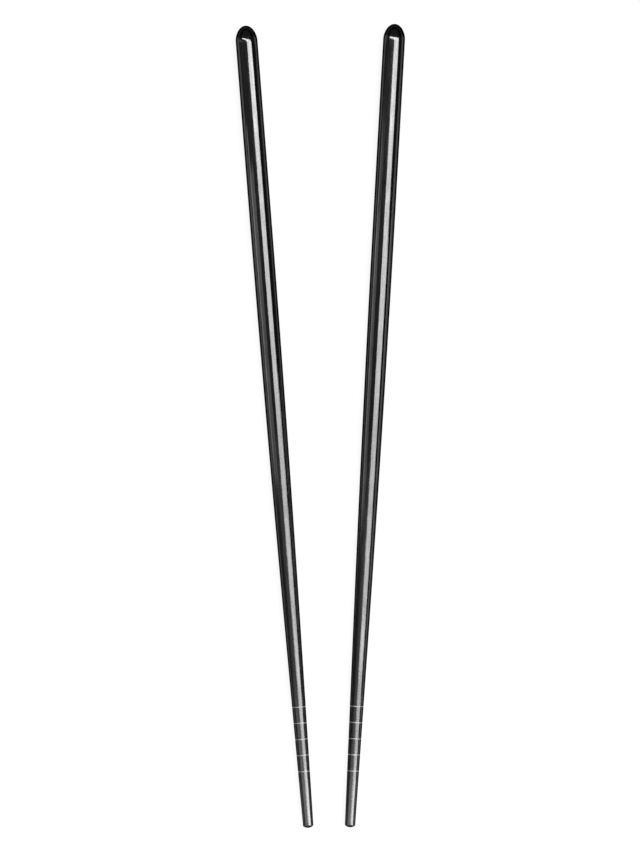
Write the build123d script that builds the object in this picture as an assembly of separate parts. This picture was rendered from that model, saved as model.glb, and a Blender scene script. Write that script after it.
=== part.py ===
from build123d import *
import os
from math import acos, asin, atan2, cos, degrees, hypot, sin, sqrt, tan

# A pair of round steel chopsticks lying on a table, heads apart and tips close together.
# Millimetres. +Z is up, +Y runs towards the domed heads and +X to the right. The origin is
# on the table, under the middle of the pair.

# One stick: a domed head, a straight handle, a long slow taper and a blunt tip
length = 235.0
handle_diameter = 6.42
tip_diameter = 3.02  # where the taper's line reaches the end of the stick
taper_start = 115.0  # from the head end to where the handle's line meets the taper's line
taper_blend = 70.0  # how far the curve between those two lines reaches, either way

# The head is the end of an ellipse, and stops at a shoulder line before the ellipse is full
dome_height = 4.15  # from the head end to the shoulder line
dome_reach = 5.2  # half the length of the whole ellipse

# The tip is a shallow cap with its rim rounded over
tip_cap_height = 0.6
tip_rim_radius = 0.35

# Gripping rings: shallow flat-bottomed grooves cut round the taper near the tip
ring_count = 5
first_ring = 16.57  # from the tip end to the middle of the nearest ring
ring_pitch = 4.72
ring_width = 0.3
ring_depth = 0.06

# How the two lie on the table
head_spacing = 43.65  # between the middles of the two head ends
tip_spacing = 12.1  # between the middles of the two tip ends
left_run = 18.4  # how far to the right of its own head the left stick's tip lies
right_head_lead = 0.5  # how far the right stick's head lies beyond the left one's

# The line of one stick's side, from the sizes above
handle_radius = handle_diameter / 2
tip_radius = tip_diameter / 2
taper_angle = atan2(handle_radius - tip_radius, length - taper_start)
blend_radius = taper_blend / tan(taper_angle / 2)
blend_start = taper_start - taper_blend
blend_end = taper_start + taper_blend * cos(taper_angle)


def slope_at(distance):
    """Angle in radians between the side and the axis, at a distance from the head end."""
    along_blend = min(max(distance - blend_start, 0), blend_end - blend_start)
    return asin(along_blend / blend_radius)


def radius_at(distance):
    """Radius of the stick at a distance from the head end, past the dome."""
    if distance < blend_end:
        return handle_radius - blend_radius * (1 - cos(slope_at(distance)))
    return tip_radius + (length - distance) * tan(taper_angle)


def dome_arc():
    """The head's outline, from the shoulder line to the end of the stick."""
    shoulder_angle = acos((dome_height - dome_reach) / dome_reach)
    full_radius = handle_radius / sin(shoulder_angle)
    return EllipticalCenterArc(
        (dome_reach, 0),
        dome_reach,
        full_radius,
        start_angle=degrees(shoulder_angle),
        arc_size=180 - degrees(shoulder_angle),
    )


def bare_stick():
    """The turned bar along +X, with its head end at the origin."""
    rim_distance = length - tip_cap_height
    shoulder = (dome_height, handle_radius)
    handle_end = (blend_start, handle_radius)
    taper_top = (blend_end, radius_at(blend_end))
    rim = (rim_distance, radius_at(rim_distance))
    cap_radius = (tip_cap_height**2 + rim[1] ** 2) / (2 * tip_cap_height)
    cap_middle = rim[1] / 2
    cap_depth = cap_radius - sqrt(cap_radius**2 - cap_middle**2)
    outline = [
        dome_arc(),
        Line(shoulder, handle_end),
        TangentArc(handle_end, taper_top, tangent=(1, 0)),
        Line(taper_top, rim),
        ThreePointArc(rim, (length - cap_depth, cap_middle), (length, 0)),
        Line((length, 0), (0, 0)),
    ]
    side = make_face(outline)
    rim_corner = side.vertices().sort_by_distance((rim[0], rim[1], 0))[0]
    side = fillet(rim_corner, tip_rim_radius)
    return revolve(side, Axis.X, 360)


def ring_cutter(distance):
    """A washer that leaves a groove of the ring's width and depth, with its floor parallel
    to the side."""
    near = distance - ring_width / 2
    far = distance + ring_width / 2
    floor = Cone(radius_at(near) - ring_depth, radius_at(far) - ring_depth, ring_width)
    washer = Cylinder(radius_at(near) + ring_depth, ring_width) - floor
    return Pos(distance, 0, 0) * Rot(0, 90, 0) * washer


def chopstick():
    stick = bare_stick()
    for ring in range(ring_count):
        stick -= ring_cutter(length - first_ring - ring * ring_pitch)
    return stick


def laid_down(stick, head_x, head_y, run):
    """The stick on the table, its head end at a place and its tip off to one side by run.

    The side bulges a little, so the stick rocks until the side is level under its own
    balance point, with the head and the tip both just clear of the table.
    """
    balance = stick.center(CenterOf.MASS).X
    pitch = slope_at(balance)
    lift = balance * sin(pitch) + radius_at(balance) * cos(pitch)
    heading = degrees(asin(run / (length * cos(pitch)))) - 90
    return Pos(head_x, head_y, lift) * Rot(0, 0, heading) * Rot(0, degrees(pitch), 0) * stick


stick = chopstick()
right_run = left_run + tip_spacing - head_spacing
left = laid_down(stick, 0, 0, left_run)
right = laid_down(stick, head_spacing, right_head_lead, right_run)
middle = Compound([left, right]).bounding_box().center()
pair = {"left_chopstick": left, "right_chopstick": right}

os.makedirs("parts", exist_ok=True)
for name, piece in pair.items():
    export_step(Pos(-middle.X, -middle.Y, 0) * piece, f"parts/{name}.step")
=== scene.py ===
import math
import bpy
import numpy as np
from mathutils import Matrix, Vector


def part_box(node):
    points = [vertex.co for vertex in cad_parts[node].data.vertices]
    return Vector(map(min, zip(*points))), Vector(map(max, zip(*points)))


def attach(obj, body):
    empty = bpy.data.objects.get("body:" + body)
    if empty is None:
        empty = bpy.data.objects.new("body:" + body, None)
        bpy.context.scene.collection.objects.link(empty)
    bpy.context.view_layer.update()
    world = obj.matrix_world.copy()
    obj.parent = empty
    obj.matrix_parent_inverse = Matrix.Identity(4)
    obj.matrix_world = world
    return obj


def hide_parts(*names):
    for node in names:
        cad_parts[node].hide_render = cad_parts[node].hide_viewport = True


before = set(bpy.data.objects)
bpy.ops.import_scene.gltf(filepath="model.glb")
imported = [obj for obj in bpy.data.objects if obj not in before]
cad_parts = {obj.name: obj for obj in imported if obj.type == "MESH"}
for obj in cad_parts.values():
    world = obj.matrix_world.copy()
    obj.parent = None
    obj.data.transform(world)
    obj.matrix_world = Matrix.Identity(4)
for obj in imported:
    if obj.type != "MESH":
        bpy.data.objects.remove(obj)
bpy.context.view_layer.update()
scene = bpy.context.scene
scene.view_settings.view_transform = "Standard"


# The viewer's place: straight above the table with a long lens, heads at the top of the
# picture. The pair all but fills its height, as when the sticks are laid out to be shown.
view_height = 1.8
view_middle = (-0.0001, -0.00015)  # the place on the table straight below the camera
picture_height = 0.2491  # metres of table from the top edge of the picture to the bottom one
stick_level = 0.003  # height of the sticks' middles above the table

camera = bpy.data.objects.new("camera", bpy.data.cameras.new("camera"))
camera.data.sensor_width = 36.0  # spans the picture's longer side, its height
camera.data.lens = camera.data.sensor_width * (view_height - stick_level) / picture_height
camera.location = (*view_middle, view_height)
scene.collection.objects.link(camera)
scene.camera = camera


# The table: one wide, plain, pale board. It shows white to the eye and in the steel, and
# part of its white is lit by the lamps, so that the sticks' own soft shadow stays on it.
table_reach = 12.0
table_white = (0.82, 0.82, 0.82, 1.0)
table_own_share = 0.85  # how much of the white is there with or without a shadow


def table_top():
    """A flat square, z = 0, as far as table_reach on every side."""
    corners = np.array([(-1, -1, 0), (1, -1, 0), (1, 1, 0), (-1, 1, 0)]) * table_reach
    mesh = bpy.data.meshes.new("table_top")
    mesh.from_pydata(corners.tolist(), [], [(0, 1, 2, 3)])
    board = bpy.data.objects.new("table_top", mesh)
    scene.collection.objects.link(board)
    return board


def calc(tree, operation, *terms):
    """One step of arithmetic in a material. Each term is a node's output or a number."""
    step = tree.nodes.new("ShaderNodeMath")
    step.operation = operation
    for socket, term in zip(step.inputs, terms):
        if isinstance(term, bpy.types.NodeSocket):
            tree.links.new(term, socket)
        else:
            socket.default_value = term
    return step.outputs[0]


def table_paint():
    """Matt white, mixed with an even white for the eye, for mirrors and for glass."""
    paint = bpy.data.materials.new("table_paint")
    paint.use_nodes = True
    tree = paint.node_tree
    tree.nodes.clear()
    matt = tree.nodes.new("ShaderNodeBsdfDiffuse")
    matt.inputs["Color"].default_value = table_white
    even = tree.nodes.new("ShaderNodeEmission")
    even.inputs["Strength"].default_value = 1.0
    path = tree.nodes.new("ShaderNodeLightPath").outputs
    seen = calc(tree, "MAXIMUM", path["Is Camera Ray"], path["Is Glossy Ray"])
    seen = calc(tree, "MAXIMUM", seen, path["Is Transmission Ray"])
    mix = tree.nodes.new("ShaderNodeMixShader")
    tree.links.new(calc(tree, "MULTIPLY", seen, table_own_share), mix.inputs["Fac"])
    tree.links.new(matt.outputs[0], mix.inputs[1])
    tree.links.new(even.outputs[0], mix.inputs[2])
    out = tree.nodes.new("ShaderNodeOutputMaterial")
    tree.links.new(mix.outputs[0], out.inputs["Surface"])
    return paint


table = table_top()
table.data.materials.append(table_paint())


# The light: soft flat panels over the table and an even, dim room. A polished bar shows a
# panel that leans off from straight up by an angle as a stripe at sin(angle / 2) of its own
# half width, so a panel's two leans set where across the bar its stripe starts and ends.
room_grey = (0.07, 0.07, 0.07, 1.0)


def soft_panel(name, distance, leans, places, brightness, turn=0.0):
    """A flat light whose two edges along y are at one distance from the y axis, at two
    leans, in degrees from straight up towards the right. It goes from one place along y to
    the other, and is then turned about the vertical through its own middle. Its power is
    brightness x area x pi, so brightness is what it shows in a perfect mirror."""
    middle = math.radians(sum(leans) / 2)
    half = math.radians((leans[1] - leans[0]) / 2)
    reach = distance * math.cos(half)
    lamp = bpy.data.lights.new(name, "AREA")
    lamp.shape = "RECTANGLE"
    lamp.size = 2 * distance * math.sin(half)
    lamp.size_y = places[1] - places[0]
    lamp.energy = brightness * lamp.size * lamp.size_y * math.pi
    panel = bpy.data.objects.new(name, lamp)
    panel.location = (reach * math.sin(middle), sum(places) / 2, reach * math.cos(middle))
    panel.rotation_euler = (0.0, middle, math.radians(turn))
    panel.visible_camera = False
    scene.collection.objects.link(panel)


# The long white stripe right of the middle, from head to tip
soft_panel("key_panel", 3.2, (4.0, 49.5), (-0.55, 0.60), 10.0, turn=-4.5)
soft_panel("key_foot", 0.6, (49.5, 59.0), (-0.25, 0.04), 9.0)
soft_panel("key_toe", 0.1, (26.0, 66.0), (-0.145, -0.106), 3.0)
soft_panel("key_patch", 0.1, (8.0, 52.0), (-0.080, -0.068), 5.5)
soft_panel("key_glow", 0.2, (4.0, 36.0), (0.085, 0.146), 1.6, turn=-12.0)
soft_panel("key_end", 0.2, (2.0, 46.0), (0.121, 0.148), 3.5, turn=-12.0)

# The hook where that stripe starts, and a faint sheen on the dome beyond it
soft_panel("head_bar", 3.2, (-48.0, 10.0), (0.50, 0.76), 17.0, turn=-6.5)
soft_panel("head_glow", 4.2, (-50.0, 50.0), (1.3, 6.0), 0.35)

# The grey band left of the middle, down the handle to half way
soft_panel("left_panel", 0.13, (-80.0, -67.0), (-0.023, 0.083), 1.4, turn=8.0)
soft_panel("left_glow", 0.13, (-80.0, -37.0), (-0.028, 0.072), 1.0, turn=8.0)
soft_panel("left_start", 0.7, (-80.0, -66.0), (0.126, 0.154), 1.8)
soft_panel("left_rise", 0.7, (-66.0, -42.0), (0.120, 0.142), 0.8)
soft_panel("left_wall", 3.2, (-86.0, -1.0), (-1.5, 1.5), 0.12)

# The fainter band from there to the tip
soft_panel("low_edge", 0.6, (-5.0, 4.0), (-0.27, -0.05), 2.0)
soft_panel("low_glow", 0.6, (-45.0, -5.0), (-0.27, -0.04), 0.45)
soft_panel("tip_panel", 0.3, (-62.0, -4.0), (-0.18, -0.115), 1.5)

# The thin line at the right edge
soft_panel("right_sliver", 0.6, (84.5, 89.5), (-0.2, 0.055), 3.0)

world = bpy.data.worlds.new("room")
world.use_nodes = True
world.node_tree.nodes["Background"].inputs["Color"].default_value = room_grey
world.node_tree.nodes["Background"].inputs["Strength"].default_value = 1.0
scene.world = world


# One chopstick is a steel bar turned on a lathe: a domed head, a straight handle, a slow
# taper, five fine rings cut near the tip, and a tip with its rim rounded over.
length = 0.235
handle_radius = 0.00321
tip_radius = 0.00151  # where the taper's line reaches the end of the stick
taper_start = 0.115  # from the head end to where the handle's line meets the taper's line
taper_blend = 0.070  # how far the curve between those two lines reaches, either way
dome_height = 0.00415  # from the head end to the shoulder line
dome_reach = 0.0052  # half the length of the whole ellipse that the dome is the end of
shoulder_softness = 0.00012
tip_cap_height = 0.0006
tip_rim_radius = 0.00035
ring_count = 5
first_ring = 0.01657  # from the tip end to the middle of the nearest ring
ring_pitch = 0.00472
ring_width = 0.0003
ring_depth = 0.00006
wall_lean = 0.000005  # a groove's wall leans by this

taper_angle = math.atan2(handle_radius - tip_radius, length - taper_start)
blend_radius = taper_blend / math.tan(taper_angle / 2)
blend_start = taper_start - taper_blend
blend_end = taper_start + taper_blend * math.cos(taper_angle)
ring_places = length - first_ring - ring_pitch * np.arange(ring_count)

# The mesh: how finely it is divided, and where along the bar its rows crowd
angle_steps = 144
sharp_edge = math.radians(30)
dome_share = 0.6  # of dome_reach, from where the rows crowd towards the shoulder
shoulder_end = 0.0056  # from the head end to where they spread out again
rim_gap = 0.0001  # from the last row of the side to the first one of the rim


def body_radius(distance):
    """Straight handle, then a circle's arc that leaves it level, then a straight cone."""
    arc = np.clip(distance - blend_start, 0.0, blend_end - blend_start)
    on_arc = handle_radius - blend_radius + np.sqrt(blend_radius**2 - arc**2)
    on_cone = tip_radius + (length - distance) * math.tan(taper_angle)
    return np.where(distance < blend_end, on_arc, on_cone)


def domed_radius(distance):
    """The lesser of the body and the head's ellipse, with the shoulder where they cross
    rounded by k = shoulder_softness: mix(body, ellipse, h) - k h (1 - h), where h goes from
    0 to 1 as body - ellipse goes from -k to k."""
    widest = handle_radius / math.sqrt(1 - (1 - dome_height / dome_reach) ** 2)
    along = np.clip(1 - distance / dome_reach, 0.0, 1.0)
    ellipse = np.where(distance < dome_reach, widest * np.sqrt(1 - along**2), widest)
    body = body_radius(distance)
    h = np.clip(0.5 + 0.5 * (body - ellipse) / shoulder_softness, 0.0, 1.0)
    return body + (ellipse - body) * h - shoulder_softness * h * (1 - h)


def ringed_radius(distance):
    """The side line less the ring's depth inside each groove, whose floor is flat and whose
    walls rise over wall_lean: depth x clip((w / 2 - |d|) / lean, 0, 1)."""
    off = np.abs(distance[:, None] - ring_places).min(1)
    inside = np.clip((ring_width / 2 - off) / wall_lean, 0.0, 1.0)
    return domed_radius(distance) - ring_depth * inside


def tip_outline(rim_steps=8, cap_steps=12):
    """The rounded rim and the cap: two circles' arcs, point = middle + r (cos n, sin n),
    where n turns from square to the cone's side round to straight ahead. The rim's arc
    touches both the cone's line and the cap's circle from inside."""
    slope = math.tan(taper_angle)
    rim = float(body_radius(np.array(length - tip_cap_height)))
    cap_radius = (tip_cap_height**2 + rim**2) / (2 * tip_cap_height)
    cap_middle = length - cap_radius
    inset = tip_radius + length * slope - tip_rim_radius / math.cos(taper_angle)
    a = 1 + slope**2
    b = cap_middle + inset * slope
    c = cap_middle**2 + inset**2 - (cap_radius - tip_rim_radius) ** 2
    rim_middle = (b + math.sqrt(b * b - a * c)) / a
    rim_height = inset - slope * rim_middle
    meet = math.atan2(rim_height, rim_middle - cap_middle)
    on_rim = np.linspace(math.pi / 2 - taper_angle, meet, rim_steps)
    on_cap = np.linspace(meet, 0.0, cap_steps)[1:]
    distance = np.concatenate(
        [rim_middle + tip_rim_radius * np.cos(on_rim), cap_middle + cap_radius * np.cos(on_cap)]
    )
    radius = np.concatenate(
        [rim_height + tip_rim_radius * np.sin(on_rim), cap_radius * np.sin(on_cap)]
    )
    return distance, radius


def outline(dome_steps=26, shoulder_steps=40, side_steps=130):
    """Distance from the head end and radius, point by point, from pole to pole. The points
    crowd at the dome, the shoulder, the ring grooves and the tip."""
    dome_turn = np.linspace(0.0, math.acos(1 - dome_share), dome_steps)
    dome = dome_reach * (1 - np.cos(dome_turn))
    shoulder = np.linspace(dome[-1], shoulder_end, shoulder_steps)[1:]
    tip_distance, tip_height = tip_outline()
    plain = np.linspace(shoulder[-1], tip_distance[0] - rim_gap, side_steps)[1:]
    half = ring_width / 2
    corners = np.array([-half, wall_lean - half, 0.0, half - wall_lean, half])
    near_ring = np.abs(plain[:, None] - ring_places).min(1) < ring_width
    rings = (ring_places[:, None] + corners).ravel()
    distance = np.sort(np.concatenate([dome, shoulder, plain[~near_ring], rings]))
    return (
        np.concatenate([distance, tip_distance]),
        np.concatenate([ringed_radius(distance), tip_height]),
    )


def rest_tilt(distance, radius):
    """How far the bar tips to lie level under its balance point, and how high its head
    end's middle is then: the side's slope there, and d sin t + r cos t."""
    share = np.gradient(distance) * radius**2
    balance = float((distance * share).sum() / share.sum())
    tilt = math.asin(min(max(balance - blend_start, 0.0), blend_end - blend_start) / blend_radius)
    under = float(body_radius(np.array(balance)))
    return tilt, balance * math.sin(tilt) + under * math.cos(tilt)


def turned_bar(name, run):
    """A surface of revolution: (d, r cos a, r sin a) over distance d and angle a, tilted to
    its rest, turned so that its tip lies off to the side by run, and set over the middle of
    the node that it stands for. The point attribute "bar" keeps each point's place on the
    straight bar, in metres."""
    distance, radius = outline()
    tilt, lift = rest_tilt(distance, radius)
    rows = len(distance) - 2
    angle = np.arange(angle_steps) * (2 * math.pi / angle_steps) - math.pi / 2
    d = np.repeat(distance[1:-1], angle_steps)
    r = np.repeat(radius[1:-1], angle_steps)
    a = np.tile(angle, rows)
    bar = np.column_stack([d, r * np.cos(a), r * np.sin(a)])
    bar = np.vstack([[distance[0], 0.0, 0.0], bar, [distance[-1], 0.0, 0.0]])
    heading = math.asin(run / (length * math.cos(tilt))) - math.pi / 2
    cos_tilt, sin_tilt = math.cos(tilt), math.sin(tilt)
    cos_turn, sin_turn = math.cos(heading), math.sin(heading)
    tip_down = np.array([[cos_tilt, 0, sin_tilt], [0, 1, 0], [-sin_tilt, 0, cos_tilt]])
    turn = np.array([[cos_turn, -sin_turn, 0], [sin_turn, cos_turn, 0], [0, 0, 1]])
    points = bar @ (turn @ tip_down).T + np.array([0, 0, lift])
    low, high = (np.array(corner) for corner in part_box(name))
    points[:, :2] += (low + high)[:2] / 2 - (points.min(0) + points.max(0))[:2] / 2

    ring = np.arange(angle_steps)
    onward = (ring + 1) % angle_steps
    first = 1 + np.arange(rows - 1)[:, None] * angle_steps
    quads = np.stack(
        [first + ring, first + onward, first + angle_steps + onward, first + angle_steps + ring], -1
    ).reshape(-1, 4)
    last = 1 + (rows - 1) * angle_steps
    head_fan = np.stack([np.zeros_like(ring), 1 + onward, 1 + ring], -1)
    tip_fan = np.stack([np.full_like(ring, len(points) - 1), last + ring, last + onward], -1)
    faces = quads.tolist() + head_fan.tolist() + tip_fan.tolist()
    mesh = bpy.data.meshes.new(name + "_bar")
    mesh.from_pydata(points.tolist(), [], faces)
    mesh.attributes.new("bar", "FLOAT_VECTOR", "POINT").data.foreach_set("vector", bar.ravel())
    mesh.validate()
    mesh.update()
    piece = bpy.data.objects.new(name + "_bar", mesh)
    scene.collection.objects.link(piece)
    return piece


def groove_faces(mesh):
    """1 for each face whose middle, on the straight bar, lies inside a groove, else 0."""
    place = np.empty(len(mesh.vertices) * 3, np.float32)
    mesh.attributes["bar"].data.foreach_get("vector", place)
    corner = np.empty(len(mesh.loops), np.int32)
    mesh.loops.foreach_get("vertex_index", corner)
    first = np.empty(len(mesh.polygons), np.int32)
    mesh.polygons.foreach_get("loop_start", first)
    count = np.diff(np.append(first, len(corner)))
    middle = np.add.reduceat(place[::3][corner], first) / count
    off = np.abs(middle[:, None] - ring_places).min(1)
    return (off < ring_width / 2).astype(np.int32)


# The steel is dark and polished at the handle, and turns satin along the taper. The five
# grooves are cut through the dark skin to bare metal. Both show the lathe's fine grain.
polished_roughness = 0.10
satin_roughness = 0.18
# The dome's shade is painted shade: a third of the handle's, so that what the dome mirrors, the
# white table too, shows dark.
dome_painted_shade, head_shade, middle_shade, tip_shade = 0.020, 0.060, 0.049, 0.070
bare_shade = 0.24
bare_roughness = 0.56

# Where along the bar, from the head end, one finish or shade gives way to the next
polished_to_satin = (0.100, 0.155)
dome_to_head = (0.0032, 0.0040)
head_to_middle = (0.040, 0.125)
middle_to_tip = (0.208, 0.235)

# How strongly the grain shows: as shares of the dark shade, and else as what it adds
noise_gain = 4.0  # raw noise keeps near 0.5, and is stretched about it by this
line_share, band_share, speckle_share = 0.16, 0.12, 0.14
line_roughness = 0.02
grain_height = 0.000004
polished_grain = 0.3  # the grain's height on the polished part, against the satin's
bare_speckle = 0.08
bare_line_roughness = 0.06


def grain_group():
    """Grain on the straight bar, from three noises of its own place in metres: lines, drawn
    out along the bar or round it, speckle, alike in all directions, and bands, which change
    slowly. Each is spread about 0, mostly within -1 and 1, and the height joins lines and
    speckle."""
    group = bpy.data.node_groups.new("turned_grain", "ShaderNodeTree")
    for name, kind in {
        "Place": "NodeSocketVector",
        "Line Length": "NodeSocketFloat",
        "Line Width": "NodeSocketFloat",
        "Speckle Size": "NodeSocketFloat",
        "Band Length": "NodeSocketFloat",
    }.items():
        group.interface.new_socket(name, in_out="INPUT", socket_type=kind)
    for name in ("Lines", "Speckle", "Bands", "Height"):
        group.interface.new_socket(name, in_out="OUTPUT", socket_type="NodeSocketFloat")
    given = group.nodes.new("NodeGroupInput").outputs
    made = group.nodes.new("NodeGroupOutput").inputs

    def noise(along, around, detail):
        """Noise with one cell per length `along` the bar and per length `around` it."""
        cell = group.nodes.new("ShaderNodeCombineXYZ")
        for axis, side in zip("XYZ", (along, around, around)):
            group.links.new(side, cell.inputs[axis])
        scaled = group.nodes.new("ShaderNodeVectorMath")
        scaled.operation = "DIVIDE"
        group.links.new(given["Place"], scaled.inputs[0])
        group.links.new(cell.outputs[0], scaled.inputs[1])
        texture = group.nodes.new("ShaderNodeTexNoise")
        texture.inputs["Scale"].default_value = 1.0
        texture.inputs["Detail"].default_value = detail
        group.links.new(scaled.outputs[0], texture.inputs["Vector"])
        return calc(group, "MULTIPLY_ADD", texture.outputs[0], noise_gain, -noise_gain / 2)

    lines = noise(given["Line Length"], given["Line Width"], 1.0)
    speckle = noise(given["Speckle Size"], given["Speckle Size"], 1.0)
    bands = noise(given["Band Length"], given["Band Length"], 2.0)
    group.links.new(lines, made["Lines"])
    group.links.new(speckle, made["Speckle"])
    group.links.new(bands, made["Bands"])
    group.links.new(calc(group, "ADD", lines, speckle), made["Height"])
    return group


def bar_place(tree):
    """Where a point lies on the straight bar, in metres, from the mesh's own attribute."""
    place = tree.nodes.new("ShaderNodeAttribute")
    place.attribute_name = "bar"
    return place.outputs["Vector"]


def steel(name, grain, line_length, line_width, speckle_size, band_length):
    """An all-metal surface with the grain set to its own sizes, for the two finishes. It
    gets darker the more it is seen at a slant, all but at its very edge."""
    finish = bpy.data.materials.new(name)
    finish.use_nodes = True
    tree = finish.node_tree
    surface = tree.nodes["Principled BSDF"]
    surface.inputs["Metallic"].default_value = 1.0
    surface.inputs["Specular Tint"].default_value = (0.0, 0.0, 0.0, 1.0)
    pattern = tree.nodes.new("ShaderNodeGroup")
    pattern.node_tree = grain
    pattern.inputs["Line Length"].default_value = line_length
    pattern.inputs["Line Width"].default_value = line_width
    pattern.inputs["Speckle Size"].default_value = speckle_size
    pattern.inputs["Band Length"].default_value = band_length
    tree.links.new(bar_place(tree), pattern.inputs["Place"])
    return finish, tree, surface, pattern.outputs


def smooth_step(tree, value, start, end):
    """From 0 at start to 1 at end, level at both."""
    step = tree.nodes.new("ShaderNodeMapRange")
    step.interpolation_type = "SMOOTHSTEP"
    step.inputs["From Min"].default_value = start
    step.inputs["From Max"].default_value = end
    tree.links.new(value, step.inputs["Value"])
    return step.outputs[0]


def dark_steel(grain):
    """Shade and roughness change along the bar and vary with the grain, which stands up
    more where the finish is satin. The dome's far darker shade is painted shade, and the
    shade's dip from head to middle and rise at the tip is partly a painted highlight,
    partly the satin tip's own lighter metal."""
    finish, tree, surface, pattern = steel(
        "dark_steel",
        grain,
        line_length=0.0045,
        line_width=0.00035,
        speckle_size=0.0005,
        band_length=0.018,
    )
    split = tree.nodes.new("ShaderNodeSeparateXYZ")
    tree.links.new(bar_place(tree), split.inputs[0])
    distance = split.outputs["X"]
    satin = smooth_step(tree, distance, *polished_to_satin)

    past_dome = smooth_step(tree, distance, *dome_to_head)
    towards_middle = smooth_step(tree, distance, *head_to_middle)
    towards_tip = smooth_step(tree, distance, *middle_to_tip)
    # Painted shade: the dome gets a far darker shade than the handle.
    shade = calc(tree, "MULTIPLY_ADD", past_dome, head_shade - dome_painted_shade, dome_painted_shade)
    # Partly painted highlight: the shade dims towards the middle and lifts at the tip as the stripe
    # does.
    shade = calc(tree, "MULTIPLY_ADD", towards_middle, middle_shade - head_shade, shade)
    shade = calc(tree, "MULTIPLY_ADD", towards_tip, tip_shade - middle_shade, shade)
    uneven = calc(tree, "MULTIPLY", pattern["Lines"], line_share)
    uneven = calc(tree, "MULTIPLY_ADD", pattern["Bands"], band_share, uneven)
    uneven = calc(tree, "MULTIPLY_ADD", pattern["Speckle"], speckle_share, uneven)
    shade = calc(tree, "MULTIPLY", shade, calc(tree, "ADD", uneven, 1.0))
    tree.links.new(shade, surface.inputs["Base Color"])

    rougher = satin_roughness - polished_roughness
    rough = calc(tree, "MULTIPLY_ADD", satin, rougher, polished_roughness)
    rough = calc(tree, "MULTIPLY_ADD", pattern["Lines"], line_roughness, rough)
    tree.links.new(rough, surface.inputs["Roughness"])

    bump = tree.nodes.new("ShaderNodeBump")
    bump.inputs["Distance"].default_value = grain_height
    grip = calc(tree, "MULTIPLY_ADD", satin, 1.0 - polished_grain, polished_grain)
    tree.links.new(calc(tree, "MULTIPLY", pattern["Height"], grip), bump.inputs["Height"])
    tree.links.new(bump.outputs[0], surface.inputs["Normal"])
    return finish


def bare_steel(grain):
    """The grooves' bright cut metal, with the tool's marks running round the bar."""
    finish, tree, surface, pattern = steel(
        "bare_steel",
        grain,
        line_length=0.00006,
        line_width=0.002,
        speckle_size=0.0003,
        band_length=0.01,
    )
    shade = calc(tree, "MULTIPLY_ADD", pattern["Speckle"], bare_speckle, bare_shade)
    tree.links.new(shade, surface.inputs["Base Color"])
    rough = calc(tree, "MULTIPLY_ADD", pattern["Lines"], bare_line_roughness, bare_roughness)
    tree.links.new(rough, surface.inputs["Roughness"])
    return finish


# The pair: the same bar twice, in the same two finishes. They lie on the table in a V, the
# heads apart and the tips close together, each level under its own balance point.
left_run = 0.0184  # how far to the right of its own head the left stick's tip lies
head_spacing = 0.04365
tip_spacing = 0.0121
right_run = left_run + tip_spacing - head_spacing

grain = grain_group()
finishes = [dark_steel(grain), bare_steel(grain)]
for name, run in {"left_chopstick": left_run, "right_chopstick": right_run}.items():
    piece = turned_bar(name, run)
    for finish in finishes:
        piece.data.materials.append(finish)
    piece.data.polygons.foreach_set("material_index", groove_faces(piece.data))
    piece.data.shade_smooth()
    piece.data.set_sharp_from_angle(angle=sharp_edge)
    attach(piece, "root")
    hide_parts(name)
